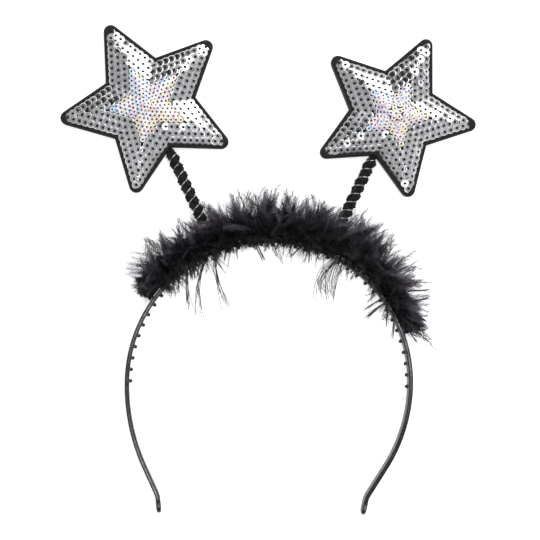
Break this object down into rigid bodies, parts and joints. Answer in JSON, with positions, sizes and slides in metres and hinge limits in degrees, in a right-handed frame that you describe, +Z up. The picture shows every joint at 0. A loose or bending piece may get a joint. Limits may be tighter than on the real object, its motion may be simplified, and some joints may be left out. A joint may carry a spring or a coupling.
{
  "type": "star bopper tiara",
  "caption": "Plastic headband with grip teeth, a feather trim over its crown and padded sequinned stars that bob on covered springs.",
  "frame": {"origin": "on the table under the middle of the outline, as the piece lies on its back", "axes": "+X to the right seen from the front, +Y towards the crown and the stars, +Z up out of the front"},
  "size_m": [0.2008, 0.2342, 0.0218],
  "materials": {
    "band_plastic": "glossy moulded black",
    "feather": "black marabou down",
    "spring_steel": "bright drawn wire",
    "chenille": "fuzzy black cord",
    "felt": "pressed black felt",
    "sequin_cloth": "flat silver sequins on black cloth, holographic in the middle"
  },
  "bodies": {
    "band": {"headband": "band_plastic", "feather_trim": "feather"},
    "left_spring": {"left_spring_wire": "spring_steel", "left_spring_wrap": "chenille"},
    "left_star": {"left_star_back": "felt", "left_star_front": "sequin_cloth"},
    "right_spring": {"right_spring_wire": "spring_steel", "right_spring_wrap": "chenille"},
    "right_star": {"right_star_back": "felt", "right_star_front": "sequin_cloth"}
  },
  "joints": [
    {"name": "left_sway", "type": "hinge", "parent": "band", "child": "left_spring", "pos_m": [-0.03026, 0.02434, 0.0039], "axis": [0, 0, 1], "range_deg": [-20, 25], "stiffness_Nm_per_rad": 0.015, "deforming": ["left_spring_wire", "left_spring_wrap"]},
    {"name": "left_nod", "type": "hinge", "parent": "left_spring", "child": "left_star", "pos_m": [-0.04038, 0.04387, 0.0039], "axis": [0.8878, 0.4602, 0], "range_deg": [-35, 35], "stiffness_Nm_per_rad": 0.015, "deforming": ["left_spring_wire", "left_spring_wrap"]},
    {"name": "right_sway", "type": "hinge", "parent": "band", "child": "right_spring", "pos_m": [0.03686, 0.02602, 0.0039], "axis": [0, 0, 1], "range_deg": [-25, 20], "stiffness_Nm_per_rad": 0.015, "deforming": ["right_spring_wire", "right_spring_wrap"]},
    {"name": "right_nod", "type": "hinge", "parent": "right_spring", "child": "right_star", "pos_m": [0.04563, 0.0462, 0.0039], "axis": [0.9171, -0.3987, 0], "range_deg": [-35, 35], "stiffness_Nm_per_rad": 0.015, "deforming": ["right_spring_wire", "right_spring_wrap"]}
  ]
}
